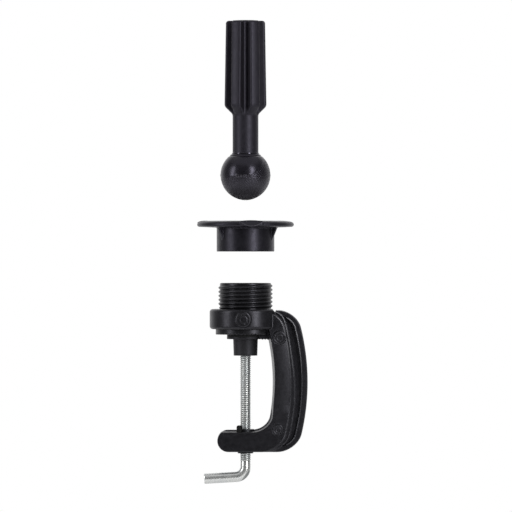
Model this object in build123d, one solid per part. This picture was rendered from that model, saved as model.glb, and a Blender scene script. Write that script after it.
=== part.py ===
from build123d import *

import os
from math import cos, radians, sqrt

# Table clamp with a ball-jointed head plug, stored as it comes apart on the bench.
#
# Millimetres. +Z is up, the origin is the centre of the fixed jaw's face, on the line shared by the
# screw, the socket, the ring nut and the ball stem. The C-shaped spine stands on the +X side and the
# front of the clamp faces -Y. The ring nut and the ball stem float above the socket at rest, and
# their joints bring them down on to it.

# Driving dimensions ------------------------------------------------------------------------

# fixed jaw and collar
COLLAR_R = 25.6
COLLAR_LOW = 3.9
COLLAR_TOP = 18.2
COLLAR_TOP_FILLET = 2.2
COLLAR_LOW_FILLET = 1.6
JAW_R = 21.3
JAW_INNER_R = 14.0
JAW_TEETH = 40
JAW_TOOTH_DEPTH = 1.6

# C frame: spine and lower arm, an I-section that narrows downwards
# each layer's depth along Y, at the height of the jaw and at the height of the lower arm
PLATE_DEPTH = (34.0, 18.0)
STEP_DEPTH = (30.0, 15.5)
BEAD_DEPTH = (26.0, 13.0)
WEB_DEPTH = (19.0, 8.5)
TAPER_TOP_Z = 3.0
SPINE_OUT_X = 44.2
SPINE_OUT_R = 162.6
SPINE_IN_X = 19.6
SPINE_IN_R = 151.0
SPINE_MID_Z = -34.0
BACK_LEFT_X = -20.0
SPINE_TOP_Z = 17.2
SPINE_TOP_CORNER = 12.0
SPINE_LOW_CORNER = 13.0
THROAT_CORNER = 10.0
THROAT_DRAFT = 6.0
BEAD_WIDTH = 4.2
STEP_SHIFT = 8.3
PLATE_SHIFT = 11.3
ARM_TOP = -67.9
ARM_LOW = -83.7
ARM_END_X = -20.1

# toothed gusset between the jaw and the spine, hollowed to clear the pad
GUSSET_HALF = 11.0
GUSSET_LEFT_X = 8.6
GUSSET_LOW_X = 11.2
GUSSET_FLOOR = -3.7
GUSSET_TEETH = 4
PAD_ROOM_R = 13.9

# threaded socket for the ball
SOCKET_R = 19.4
SOCKET_TOP = 36.8
SPIGOT_R = 16.0
SPIGOT_LOW = 9.0

# ball stem
BALL_R = 17.9
BALL_Z = 113.85
CORE_CAVITY_R = 5.5
NECK_R = 9.2
NECK_LOW = 127.95
NECK_SPIGOT_R = 6.0
NECK_SPIGOT_LOW = 124.25
RIB_COUNT = 6
RIB_WIDTH = 7.7
PLUG_TOP = 224.9
PLUG_TOP_R = 14.0
PLUG_LOW = 163.1
PLUG_LOW_R = 15.0

# ring nut
FLANGE_R = 34.6
FLANGE_TOP = 81.2
FLANGE_LOW = 76.9
SKIRT_R = 20.6
SKIRT_LOW = 59.3
NUT_BALL_BORE_R = 18.25
SCALLOP_R = 28.0
SCALLOP_DEPTH = 3.4
SCALLOP_SLANT = 41.8
SCALLOP_TURN = 7.5
NUT_WEB_OUT_R = 24.6
NUT_WEB_LOW = 66.0
NUT_WEB_THICK = 2.6

# clamp screw and pressure pad
SCREW_R = 3.97
ROD_R = 3.7
SCREW_TIP = -5.5
THREAD_END = -91.2
HANDLE_Z = -101.65
BEND_R = 7.15
HANDLE_LENGTH = 30.0
HANDLE_SLOPE = 3.2
HANDLE_TURN = 4.0
PAD_TOP = -0.4
PAD_R = 13.3
PAD_THICK = 2.85
FACING_THICK = 1.2
PAD_LOW = -15.0
PAD_BOSS_TOP_R = 8.85
PAD_BOSS_LOW_R = 8.45

# clearances
RUNNING = 0.10
SEATED = 0.05

# Worked out from the above -----------------------------------------------------------------

SPINE_OUT_CENTRE_X = SPINE_OUT_X - SPINE_OUT_R
SPINE_IN_CENTRE_X = SPINE_IN_X - SPINE_IN_R
BALL_DROP = 72.0
SEATED_BALL_Z = BALL_Z - BALL_DROP
ARM_HALF = (ARM_TOP - ARM_LOW) / 2


def cyl(radius, low, high, x=0.0, y=0.0):
    """An upright cylinder between two heights."""
    place = Pos(x, y, low)
    return place * Cylinder(radius, high - low, align=(Align.CENTER, Align.CENTER, Align.MIN))


def cone(low_radius, high_radius, low, high):
    """An upright cone frustum between two heights."""
    align = (Align.CENTER, Align.CENTER, Align.MIN)
    return Pos(0, 0, low) * Cone(low_radius, high_radius, high - low, align=align)


def disc_facing_front(radius, x, z, front_y, back_y):
    """A disc whose axis lies along Y, between front_y and back_y."""
    middle = (front_y + back_y) / 2
    return Pos(x, middle, z) * Rot(90, 0, 0) * Cylinder(radius, back_y - front_y)


def spine_x(centre_x, radius, z):
    """Where one of the spine's two long arcs lies at height z."""
    return centre_x + sqrt(radius**2 - (z - SPINE_MID_Z) ** 2)


def front_prism(outline, depth):
    """A front-view outline drawn as (x, z), made into a prism centred on Y = 0."""
    return extrude(Plane.XZ * outline, amount=depth / 2, both=True)


def tapered(outline, depths):
    """A front prism whose depth falls from depths[0] at the jaw to depths[1] at the lower arm."""
    top, low = depths[0] / 2, depths[1] / 2
    side = Polyline(
        (-top, COLLAR_TOP + 10),
        (-top, TAPER_TOP_Z),
        (-low, ARM_TOP),
        (-low, ARM_LOW - 10),
        (low, ARM_LOW - 10),
        (low, ARM_TOP),
        (top, TAPER_TOP_Z),
        (top, COLLAR_TOP + 10),
        close=True,
    )
    wedge = extrude(Plane.YZ * make_face(side), amount=200, both=True)
    return front_prism(outline, depths[0]) & wedge


# Fixed body --------------------------------------------------------------------------------


def back_outline():
    """The region in front of the spine's outer edge: its back, with its rounded corners."""
    high_x = spine_x(SPINE_OUT_CENTRE_X, SPINE_OUT_R, SPINE_TOP_Z)
    low_x = spine_x(SPINE_OUT_CENTRE_X, SPINE_OUT_R, ARM_LOW)
    edges = [
        Line((BACK_LEFT_X, SPINE_TOP_Z), (high_x, SPINE_TOP_Z)),
        ThreePointArc((high_x, SPINE_TOP_Z), (SPINE_OUT_X, SPINE_MID_Z), (low_x, ARM_LOW)),
        Line((low_x, ARM_LOW), (BACK_LEFT_X, ARM_LOW)),
        Line((BACK_LEFT_X, ARM_LOW), (BACK_LEFT_X, SPINE_TOP_Z)),
    ]
    face = make_face(edges)
    top = max((v for v in face.vertices() if v.X > 1), key=lambda v: v.Y)
    face = fillet(top, SPINE_TOP_CORNER)
    low = min((v for v in face.vertices() if v.X > 1), key=lambda v: v.Y)
    return fillet(low, SPINE_LOW_CORNER)


def throat_outline():
    """The open throat between the jaw and the lower arm."""
    high_z = COLLAR_LOW
    high_x = spine_x(SPINE_IN_CENTRE_X, SPINE_IN_R, high_z)
    low_x = spine_x(SPINE_IN_CENTRE_X, SPINE_IN_R, ARM_TOP)
    left = ARM_END_X - 30
    edges = [
        Line((left, high_z), (high_x, high_z)),
        ThreePointArc((high_x, high_z), (SPINE_IN_X, SPINE_MID_Z), (low_x, ARM_TOP)),
        Line((low_x, ARM_TOP), (left, ARM_TOP)),
        Line((left, ARM_TOP), (left, high_z)),
    ]
    face = make_face(edges)
    corner = min((v for v in face.vertices() if v.X > 0), key=lambda v: v.Y)
    return fillet(corner, THROAT_CORNER)


def frame_solid():
    """Spine and lower arm as one I-section moulding, before the collar is added."""
    back = back_outline()
    keep_right = Pos(75, 0) * Rectangle(150, 300)
    outline = (back & keep_right) - throat_outline()
    # the bead follows the back edge; the step and the plate end at the same edge moved inwards
    bead = outline - offset(back, -BEAD_WIDTH)
    step = outline & (Pos(-STEP_SHIFT, 0) * back)
    plate = outline & (Pos(-PLATE_SHIFT, 0) * back)
    arm_middle = ARM_TOP - ARM_HALF
    arm_length = -(ARM_END_X + ARM_HALF)
    bar = Pos(-arm_length / 2, arm_middle) * Rectangle(arm_length, 2 * ARM_HALF)
    bar += Pos(-arm_length, arm_middle) * Circle(ARM_HALF)
    layers = [(outline, WEB_DEPTH), (bead, BEAD_DEPTH), (step, STEP_DEPTH), (plate, PLATE_DEPTH)]
    solid = front_prism(bar, PLATE_DEPTH[1])
    for area, depths in layers:
        solid += tapered(area, depths)
    # the throat's walls lean back from the mould's parting plane towards both faces
    return solid - extrude(Plane.XZ * throat_outline(), amount=25, both=True, taper=-THROAT_DRAFT)


def throat_gusset():
    """Toothed corner piece under the collar, in front of the spine, with room for the pad."""
    spine = spine_x(SPINE_IN_CENTRE_X, SPINE_IN_R, GUSSET_FLOOR) + 2
    outline = Polyline(
        (GUSSET_LEFT_X, COLLAR_LOW + 1),
        (GUSSET_LEFT_X, 0),
        (GUSSET_LOW_X, GUSSET_FLOOR),
        (spine, GUSSET_FLOOR),
        (spine, COLLAR_LOW + 1),
        close=True,
    )
    body = front_prism(make_face(outline), 2 * GUSSET_HALF)
    body -= cyl(PAD_ROOM_R, GUSSET_FLOOR - 2, COLLAR_LOW)
    notch = front_prism(Rot(0, 0, 45) * Rectangle(1.0, 1.0), 2 * GUSSET_HALF + 2)
    pitch = (spine - 2 - GUSSET_LOW_X) / GUSSET_TEETH
    for index in range(GUSSET_TEETH):
        body -= Pos(GUSSET_LOW_X + pitch * (index + 0.5), 0, GUSSET_FLOOR) * notch
    return body


def jaw_cut_x():
    """Where the jaw ring ends on the spine's side."""
    return spine_x(SPINE_IN_CENTRE_X, SPINE_IN_R, COLLAR_LOW) - 0.4


COLLAR_CAP = (-1.6, 11.0, 5.6)
UPPER_CAP = (24.1, -1.9, 4.8)
LOWER_CAP = (23.3, -67.9, 4.0)
CAP_SINK = 2.4


def clamp_frame():
    """Collar, spine and lower arm, with the pockets and holes for what is fitted into them."""
    collar = cyl(COLLAR_R, COLLAR_LOW, COLLAR_TOP)
    collar = fillet(collar.edges().sort_by(Axis.Z)[-1], COLLAR_TOP_FILLET)
    collar = fillet(collar.edges().sort_by(Axis.Z)[0], COLLAR_LOW_FILLET)
    body = frame_solid() + throat_gusset() - cyl(COLLAR_R - 1, COLLAR_TOP - 2, COLLAR_TOP + 20) + collar
    body -= cyl(SPIGOT_R + SEATED, SPIGOT_LOW - SEATED, COLLAR_TOP + 1)
    body -= cyl(SOCKET_BOLT_R + 0.2, 0, SPIGOT_LOW)
    body -= cyl(SOCKET_BOLT_HEAD_R + 0.3, 0, SOCKET_BOLT_HEAD_TOP)
    body -= cyl(BUSH_R + SEATED, ARM_LOW - 5, ARM_TOP + 5)
    x, z, radius = COLLAR_CAP
    body -= disc_facing_front(radius + SEATED, x, z, -COLLAR_R - 1, -COLLAR_R + CAP_SINK)
    for x, z, radius in (UPPER_CAP, LOWER_CAP):
        face = -plate_half(z - radius)
        body -= disc_facing_front(radius + SEATED, x, z, face - 8, face + CAP_SINK)
    body -= cyl(RETAINER_R + SEATED, ARM_TOP - RETAINER_DEPTH, ARM_TOP + 3, *RETAINER_AT)
    return body


def collar_cap():
    """Press-in cover on the collar, its face following the collar's curve."""
    x, z, radius = COLLAR_CAP
    disc = disc_facing_front(radius, x, z, -COLLAR_R - 2, -COLLAR_R + CAP_SINK - SEATED)
    return disc & cyl(COLLAR_R + 0.35, COLLAR_LOW, COLLAR_TOP)


def plate_half(z):
    """How far the frame's front face stands from the middle plane at height z."""
    fall = min(max((TAPER_TOP_Z - z) / (TAPER_TOP_Z - ARM_TOP), 0), 1)
    return (PLATE_DEPTH[0] + (PLATE_DEPTH[1] - PLATE_DEPTH[0]) * fall) / 2


def flat_cap(place):
    """Press-in cover on the frame's front, its face following the plate's slope."""
    x, z, radius = place
    back = -plate_half(z - radius) + CAP_SINK - SEATED
    cap = disc_facing_front(radius, x, z, -PLATE_DEPTH[0], back)
    return cap & tapered(Pos(x, z) * Circle(radius + 1), [depth + 0.6 for depth in PLATE_DEPTH])


def threaded_socket():
    """The cup that takes the ball. Its thread is drawn at its major diameter."""
    body = cyl(SOCKET_R, COLLAR_TOP + SEATED, SOCKET_TOP) + cyl(SPIGOT_R, SPIGOT_LOW, COLLAR_TOP + 1)
    body -= Pos(0, 0, SEATED_BALL_Z) * Sphere(BALL_R + RUNNING)
    body -= cyl(LINER_R + SEATED, LINER_LOW - SEATED, SEATED_BALL_Z - BALL_R + 8)
    return body - cyl(SOCKET_BOLT_R + 0.02, SPIGOT_LOW - 1, SOCKET_BOLT_END + 0.5)


LINER_R = 12.6
LINER_LOW = 21.4


def ball_seat_liner():
    """Friction pad in the floor of the cup, hollowed to the ball."""
    top = SEATED_BALL_Z - sqrt((BALL_R + RUNNING) ** 2 - LINER_R**2) - 0.4
    return cyl(LINER_R, LINER_LOW, top) - Pos(0, 0, SEATED_BALL_Z) * Sphere(BALL_R + RUNNING)


SOCKET_BOLT_R = 3.0
SOCKET_BOLT_END = 19.5
SOCKET_BOLT_HEAD_R = 5.3
SOCKET_BOLT_HEAD_TOP = 7.4
SOCKET_BOLT_HEAD = 3.3


def cap_bolt(radius, end, head_radius, head_face, head_height, upward):
    """A socket-headed bolt. upward is +1 where the shank points up from its head."""
    head_end = head_face - upward * head_height
    low, high = sorted((head_face, head_end))
    shank_low, shank_high = sorted((head_face, end))
    bolt = cyl(radius, shank_low, shank_high) + cyl(head_radius, low, high)
    key = extrude(RegularPolygon(head_radius * 0.5, 6), amount=head_height)
    key_low = low - head_height / 2 if upward > 0 else high - head_height / 2
    return bolt - Pos(0, 0, key_low) * key


def socket_bolt():
    """Holds the socket down in the collar."""
    head_face = SOCKET_BOLT_HEAD_TOP - SEATED
    return cap_bolt(
        SOCKET_BOLT_R, SOCKET_BOLT_END, SOCKET_BOLT_HEAD_R, head_face, SOCKET_BOLT_HEAD, 1
    )


def jaw_ring():
    """Serrated ring that bites the table top. It is cut away for the spine and the gusset."""
    ring = cyl(JAW_R, 0, COLLAR_LOW - SEATED) - cyl(JAW_INNER_R, -1, COLLAR_LOW + 1)
    tooth = Pos(JAW_R, 0, 0) * Rot(0, 45, 0) * Box(JAW_TOOTH_DEPTH * 1.4, 1.2, JAW_TOOTH_DEPTH * 1.4)
    for index in range(JAW_TEETH):
        ring -= Rot(0, 0, 360 * index / JAW_TEETH) * tooth
    ring -= Pos(GUSSET_LEFT_X - SEATED + 20, 0, 0) * Box(40, 2 * (GUSSET_HALF + SEATED), 20)
    return ring - Pos(jaw_cut_x() + 20, 0, 0) * Box(40, 80, 20)


BUSH_R = 6.2
BUSH_TAIL_R = 5.6
RETAINER_AT = (-4.3, -6.3)
RETAINER_R = 2.1
RETAINER_DEPTH = 5.0


def screw_bush():
    """Threaded bush moulded into the lower arm, notched for its pin."""
    body = cyl(BUSH_R, ARM_LOW + 0.3, ARM_TOP + 0.3) + cyl(BUSH_TAIL_R, ARM_LOW - 1.1, ARM_LOW + 1)
    body -= cyl(SCREW_R + RUNNING, ARM_LOW - 5, ARM_TOP + 5)
    return body - cyl(RETAINER_R + SEATED, ARM_TOP - RETAINER_DEPTH, ARM_TOP + 3, *RETAINER_AT)


def bush_retainer():
    """Round-headed pin, half in the arm and half in the bush, that keeps the bush from turning."""
    head = cyl(RETAINER_R, ARM_TOP - RETAINER_DEPTH + SEATED, ARM_TOP + 3.2, *RETAINER_AT)
    return fillet(head.edges().sort_by(Axis.Z)[-1], 1.4)


# Pressure pad ------------------------------------------------------------------------------

CLIP_LOW = -14.6
CLIP_TOP = -13.7
CLIP_R = 6.0


def pressure_pad():
    """Disc and boss that swivel on the screw's tip."""
    disc_top = PAD_TOP - FACING_THICK
    disc_low = PAD_TOP - PAD_THICK
    body = cyl(PAD_R, disc_low, disc_top - SEATED)
    body = fillet(body.edges().sort_by(Axis.Z)[0], 0.6)
    body += cone(PAD_BOSS_LOW_R, PAD_BOSS_TOP_R, PAD_LOW, disc_low + 0.2)
    body -= cyl(SCREW_R + RUNNING, PAD_LOW - 1, SCREW_TIP + 0.3)
    return body - cyl(CLIP_R + SEATED, PAD_LOW - 1, CLIP_TOP + SEATED)


def pad_facing():
    """Grip disc on the pad's upper face."""
    body = cyl(PAD_R - 0.1, PAD_TOP - FACING_THICK, PAD_TOP)
    return fillet(body.edges().sort_by(Axis.Z)[-1], 0.3)


def pad_clip():
    """Retaining ring in the screw's groove, pressed into the pad."""
    return cyl(CLIP_R, CLIP_LOW, CLIP_TOP) - cyl(SCREW_R - 0.75, CLIP_LOW - 1, CLIP_TOP + 1)


def clamp_screw():
    """Threaded rod bent into a crank handle. The thread is drawn at its major diameter."""
    rod = cyl(SCREW_R, THREAD_END, SCREW_TIP)
    rod = chamfer(rod.edges().sort_by(Axis.Z)[-1], 0.8)
    rod -= cyl(SCREW_R + 1, CLIP_LOW - 0.2, CLIP_TOP + 0.2) - cyl(SCREW_R - 0.9, CLIP_LOW - 1, CLIP_TOP + 1)
    bend_top = HANDLE_Z + BEND_R
    straight = cyl(ROD_R, bend_top, THREAD_END + 0.5)
    section = Pos(0, 0, bend_top) * Circle(ROD_R)
    bend = revolve(section, Axis((-BEND_R, 0, bend_top), (0, 1, 0)), 90 - HANDLE_SLOPE)
    reach = HANDLE_LENGTH - BEND_R
    arm = Pos(-reach / 2, 0, 0) * Rot(0, 90, 0) * Cylinder(ROD_R, reach)
    arm = chamfer(arm.edges().sort_by(Axis.X)[0], 0.6)
    # the bend stops short of a right angle, so the handle slopes down from it
    handle = Pos(-BEND_R, 0, bend_top) * Rot(0, -HANDLE_SLOPE, 0) * Pos(0, 0, -BEND_R) * arm
    return Rot(0, 0, HANDLE_TURN) * (rod + straight + bend + handle)


# Ring nut ----------------------------------------------------------------------------------

RING_GROOVE = (22.9, 77.75, 80.05)
SPLIT_RING = (20.3, 77.9, 79.9, 16.75, 15.75)
SPLIT_GAP = 8.0


def turned(angle):
    """Turn about the upright axis, counted from the front (-Y) towards +X."""
    return Rot(0, 0, angle)


def ring_nut():
    """Lobed hand nut: dished flange, skirt with the female thread, and webs between them."""
    profile = [
        (NUT_BALL_BORE_R, FLANGE_TOP - 0.5),
        (FLANGE_R - 6, FLANGE_TOP - 0.5),
        (FLANGE_R - 3.5, FLANGE_TOP),
        (FLANGE_R - 2.4, FLANGE_TOP),
        (FLANGE_R - 0.7, FLANGE_TOP - 0.8),
        (FLANGE_R, FLANGE_TOP - 2.2),
        (FLANGE_R, FLANGE_LOW + 1.3),
        (FLANGE_R - 1.2, FLANGE_LOW),
        (SKIRT_R, FLANGE_LOW - 0.6),
        (SKIRT_R, SKIRT_LOW),
        (SOCKET_R + 0.2, SKIRT_LOW),
        (SOCKET_R + 0.2, 68.5),
        (NUT_BALL_BORE_R, 70.0),
    ]
    body = revolve(Plane.XZ * make_face(Polyline(*profile, close=True)), Axis.Z)
    radius, low, high = RING_GROOVE
    body -= cyl(radius, low, high)
    web = Polyline(
        (SKIRT_R - 0.7, FLANGE_LOW - 0.2),
        (NUT_WEB_OUT_R, FLANGE_LOW - 0.2),
        (SKIRT_R - 0.2, NUT_WEB_LOW),
        (SKIRT_R - 0.7, NUT_WEB_LOW),
        close=True,
    )
    # the finger scoops are cut by a cylinder that leans outwards as it goes down
    scallop_y = SCALLOP_DEPTH - FLANGE_R - SCALLOP_R / cos(radians(SCALLOP_SLANT))
    scallop = Pos(0, scallop_y, FLANGE_TOP) * Rot(-SCALLOP_SLANT, 0, 0) * Cylinder(SCALLOP_R, 80)
    plate = turned(-90) * front_prism(make_face(web), NUT_WEB_THICK)
    for turn in range(3):
        body -= turned(SCALLOP_TURN + 120 * turn) * scallop
        body += turned(SCALLOP_TURN + 60 + 120 * turn) * plate
    return body


def split_clamp_ring():
    """Split ring in the nut's groove. It springs open over the ball, then bears down on it."""
    outer, low, high, low_in, high_in = SPLIT_RING
    ring = cyl(outer, low, high) - cone(low_in, high_in, low, high)
    gap = Pos(0, outer, (low + high) / 2) * Box(SPLIT_GAP, outer, 10)
    return ring - gap


# Ball stem ---------------------------------------------------------------------------------

BOLT_R = 3.0
BOLT_HEAD_R = 5.0
BOLT_HEAD = 5.0
BOLT_END = 120.4
WASHER_R = 6.5
WASHER_THICK = 1.2
PLUG_RECESS = 9.0


def ball():
    """The ball, bored at the top for the stem and hollow at its centre."""
    body = Pos(0, 0, BALL_Z) * Sphere(BALL_R)
    body -= cyl(NECK_R + SEATED, NECK_LOW - SEATED, BALL_Z + BALL_R + 2)
    body -= cyl(NECK_SPIGOT_R + SEATED, NECK_SPIGOT_LOW - SEATED, NECK_LOW)
    body -= cyl(BOLT_R + SEATED, BOLT_END - 0.2, NECK_SPIGOT_LOW)
    return body - Pos(0, 0, BALL_Z) * Sphere(CORE_CAVITY_R)


def stem():
    """Neck and six-ribbed tapered plug, one moulding, bored through for the bolt."""
    ribs_low = PLUG_LOW - (PLUG_LOW_R - NECK_R)
    envelope = cone(PLUG_LOW_R, PLUG_TOP_R, PLUG_LOW, PLUG_TOP)
    envelope += cone(NECK_R - 0.1, PLUG_LOW_R, ribs_low - 0.1, PLUG_LOW)
    envelope = chamfer(envelope.edges().sort_by(Axis.Z)[-1], 1.2)
    align = (Align.MIN, Align.CENTER, Align.MIN)
    bar = Pos(0, 0, ribs_low - 1) * Box(PLUG_LOW_R + 1, RIB_WIDTH, PLUG_TOP - ribs_low + 2, align=align)
    # the ribs stand at 30 degrees either side of the front, so a groove faces it
    bars = [Rot(0, 0, 360 * index / RIB_COUNT) * bar for index in range(RIB_COUNT)]
    ribs = Part() + bars
    body = cyl(NECK_R, NECK_LOW, PLUG_TOP) + (envelope & ribs)
    body += cyl(NECK_SPIGOT_R, NECK_SPIGOT_LOW, NECK_LOW + 1)
    body -= cyl(BOLT_R + 0.15, NECK_SPIGOT_LOW - 1, PLUG_TOP + 1)
    return body - cyl(WASHER_R + SEATED, PLUG_TOP - PLUG_RECESS, PLUG_TOP + 1)


def stem_washer():
    """Washer under the stem bolt's head, in the bottom of the plug's recess."""
    low = PLUG_TOP - PLUG_RECESS + SEATED
    return cyl(WASHER_R, low, low + WASHER_THICK) - cyl(BOLT_R + 0.2, low - 1, low + 5)


def stem_bolt():
    """Long bolt down the stem that ties it to the ball."""
    head_face = PLUG_TOP - PLUG_RECESS + WASHER_THICK + 2 * SEATED
    return cap_bolt(BOLT_R, BOLT_END, BOLT_HEAD_R, head_face, BOLT_HEAD, -1)


def joint_bead():
    """Carrier of the stem's up and down travel, in the hollow of the ball."""
    return Pos(0, 0, BALL_Z) * Sphere(2.0)


def joint_ring(radius, turn):
    """One of the two nested rings that carry the ball's tilts. turn lays its axis along the tilt's."""
    return Pos(0, 0, BALL_Z) * turn * Torus(radius, 0.6)


def main():
    os.makedirs("parts", exist_ok=True)
    nodes = {
        "clamp_frame": clamp_frame(),
        "threaded_socket": threaded_socket(),
        "ball_seat_liner": ball_seat_liner(),
        "socket_bolt": socket_bolt(),
        "jaw_ring": jaw_ring(),
        "collar_cap": collar_cap(),
        "upper_frame_cap": flat_cap(UPPER_CAP),
        "lower_frame_cap": flat_cap(LOWER_CAP),
        "screw_bush": screw_bush(),
        "bush_retainer": bush_retainer(),
        "pressure_pad": pressure_pad(),
        "pad_facing": pad_facing(),
        "pad_clip": pad_clip(),
        "clamp_screw": clamp_screw(),
        "split_clamp_ring": split_clamp_ring(),
        "ring_nut": ring_nut(),
        "joint_bead": joint_bead(),
        "tilt_ring_inner": joint_ring(3.1, Rot(90, 0, 0)),
        "tilt_ring_outer": joint_ring(4.5, Rot(0, 90, 0)),
        "ball": ball(),
        "stem": stem(),
        "stem_washer": stem_washer(),
        "stem_bolt": stem_bolt(),
    }
    for name, shape in nodes.items():
        export_step(shape, f"parts/{name}.step")


main()
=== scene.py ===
"""Looks for the table clamp: nylon mouldings, zinc-plated screw, studio light and the camera.

Lengths are millimetres inside the script and become metres where a mesh is made. Places come from
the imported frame: each piece is built round the box of the CAD node that it stands for.
"""

from math import cos, pi, radians, sin, sqrt

import bmesh
import bpy
import numpy as np
from mathutils import Matrix, Vector

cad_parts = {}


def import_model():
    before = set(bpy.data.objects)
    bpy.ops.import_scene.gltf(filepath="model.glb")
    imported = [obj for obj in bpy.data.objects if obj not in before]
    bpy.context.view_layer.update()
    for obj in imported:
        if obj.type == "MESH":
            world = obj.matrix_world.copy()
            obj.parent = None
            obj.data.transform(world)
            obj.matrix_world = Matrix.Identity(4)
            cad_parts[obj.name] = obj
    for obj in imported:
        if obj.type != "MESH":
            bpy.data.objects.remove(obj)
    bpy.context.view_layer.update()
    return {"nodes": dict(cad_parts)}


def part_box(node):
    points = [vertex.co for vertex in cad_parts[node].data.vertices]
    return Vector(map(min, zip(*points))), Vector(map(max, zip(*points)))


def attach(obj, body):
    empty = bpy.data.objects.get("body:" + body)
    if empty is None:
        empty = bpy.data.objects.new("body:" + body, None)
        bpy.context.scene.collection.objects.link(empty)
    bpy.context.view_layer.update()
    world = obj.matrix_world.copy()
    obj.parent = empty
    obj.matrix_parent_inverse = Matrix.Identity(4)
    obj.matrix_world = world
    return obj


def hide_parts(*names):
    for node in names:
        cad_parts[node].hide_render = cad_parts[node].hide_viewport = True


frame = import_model()

MM = 0.001
TAU = 2 * pi


def box_mm(node):
    """A CAD node's lowest and highest corners, in millimetres."""
    low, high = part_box(node)
    return Vector(low) / MM, Vector(high) / MM


# ---------------------------------------------------------------------------------------------
# Sizes read from the frame
# ---------------------------------------------------------------------------------------------

FRAME_LOW, FRAME_HIGH = box_mm("clamp_frame")
JAW_LOW, JAW_HIGH = box_mm("jaw_ring")
NUT_LOW, NUT_HIGH = box_mm("ring_nut")
BALL_LOW, BALL_HIGH = box_mm("ball")
STEM_LOW, STEM_HIGH = box_mm("stem")
FACING_LOW, FACING_HIGH = box_mm("pad_facing")
PIN_LOW, PIN_HIGH = box_mm("bush_retainer")
SOCKET_HIGH = box_mm("threaded_socket")[1]
SCREW_TOP = box_mm("clamp_screw")[1].z

COLLAR_R = FRAME_HIGH.y
COLLAR_LOW = JAW_HIGH.z
COLLAR_TOP = 18.2
ARM_LOW = FRAME_LOW.z
ARM_TOP = ARM_LOW + 15.8
ARM_HALF = (ARM_TOP - ARM_LOW) / 2
ARM_MIDDLE = (ARM_TOP + ARM_LOW) / 2
ARM_END_X = -20.1
BALL_R = BALL_HIGH.x
BALL_Z = BALL_LOW.z + BALL_R
SOCKET_R = SOCKET_HIGH.x
NUT_R = NUT_HIGH.x
JAW_R = JAW_HIGH.y


# ---------------------------------------------------------------------------------------------
# Distance fields. A field takes coordinates and gives the distance to a surface, which is
# negative inside. rounded_and and rounded_or join two of them with a round of the given radius.
# ---------------------------------------------------------------------------------------------


def rounded_and(a, b, radius):
    """Where both a and b are inside, with the outer corner rounded."""
    outside = np.sqrt(np.maximum(a + radius, 0) ** 2 + np.maximum(b + radius, 0) ** 2)
    return outside - radius + np.minimum(np.maximum(a + radius, b + radius), 0)


def rounded_or(a, b, radius):
    """Where a or b is inside, with the inner corner filled by a round."""
    return -rounded_and(-a, -b, radius)


def bell(value, width):
    """A smooth bump, 1 at value 0."""
    return np.exp(-((value / width) ** 2))


def rise(value, low, high):
    """0 up to low, 1 from high on, and even between them."""
    return np.clip((value - low) / (high - low), 0, 1)


def upright_cylinder(x, y, z, radius, low, high, edge=0.0):
    """A cylinder round the main line, with its rims rounded by edge."""
    side = np.sqrt(x * x + y * y) - radius
    ends = np.abs(z - (low + high) / 2) - (high - low) / 2
    return rounded_and(side, ends, edge)


def skin(name, field, low, high, pitch):
    """A closed mesh of the surface where field is zero, by surface nets drawn on to the surface."""
    axes = [np.arange(a - 2 * pitch, b + 3 * pitch, pitch) for a, b in zip(low, high)]
    grid = np.meshgrid(*axes, indexing="ij")
    inside = field(*grid) < 0
    cells = tuple(size - 1 for size in inside.shape)
    count = np.zeros(cells, int)
    for corner in np.ndindex(2, 2, 2):
        count += inside[tuple(slice(c, c + n) for c, n in zip(corner, cells))]
    active = (count > 0) & (count < 8)
    index = np.full(cells, -1)
    index[active] = np.arange(active.sum())
    where = np.argwhere(active)
    points = np.array([axes[k][where[:, k]] + pitch / 2 for k in range(3)])
    points = onto_surface(points, field, pitch)
    quads = []
    for axis in range(3):
        ahead = [slice(None)] * 3
        ahead[axis] = slice(1, None)
        behind = [slice(None)] * 3
        behind[axis] = slice(None, -1)
        here = inside[tuple(behind)]
        crossing = np.argwhere(here != inside[tuple(ahead)])
        flip = here[tuple(crossing.T)]
        u, v = (axis + 1) % 3, (axis + 2) % 3
        corners = []
        for du, dv in ((1, 1), (0, 1), (0, 0), (1, 0)):
            cell = crossing.copy()
            cell[:, u] -= du
            cell[:, v] -= dv
            corners.append(index[tuple(cell.T)])
        quad = np.array(corners).T
        quad[~flip] = quad[~flip][:, ::-1]
        quads.append(quad)
    return mesh_object(name, points.T, np.concatenate(quads))


def onto_surface(points, field, pitch, rounds=6):
    """Moves points down the field's slope until they lie on its surface."""
    step = pitch * 0.02
    for _ in range(rounds):
        value = field(*points)
        slope = []
        for axis in range(3):
            moved = points.copy()
            moved[axis] += step
            slope.append((field(*moved) - value) / step)
        slope = np.array(slope)
        size = np.maximum((slope**2).sum(0), 0.25)
        shift = value * slope / size
        longest = np.maximum(np.sqrt((shift**2).sum(0)), 1e-9)
        points = points - shift * np.minimum(1, 0.7 * pitch / longest)
    return points


# ---------------------------------------------------------------------------------------------
# Meshes
# ---------------------------------------------------------------------------------------------


def mesh_object(name, points, faces, smooth=True):
    """An object from points in millimetres and faces, linked to the scene."""
    mesh = bpy.data.meshes.new(name)
    mesh.from_pydata((np.asarray(points, float) * MM).tolist(), [], [list(f) for f in faces])
    mesh.validate()
    mesh.update()
    mesh.polygons.foreach_set("use_smooth", [smooth] * len(mesh.polygons))
    piece = bpy.data.objects.new(name, mesh)
    bpy.context.scene.collection.objects.link(piece)
    return piece


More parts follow.
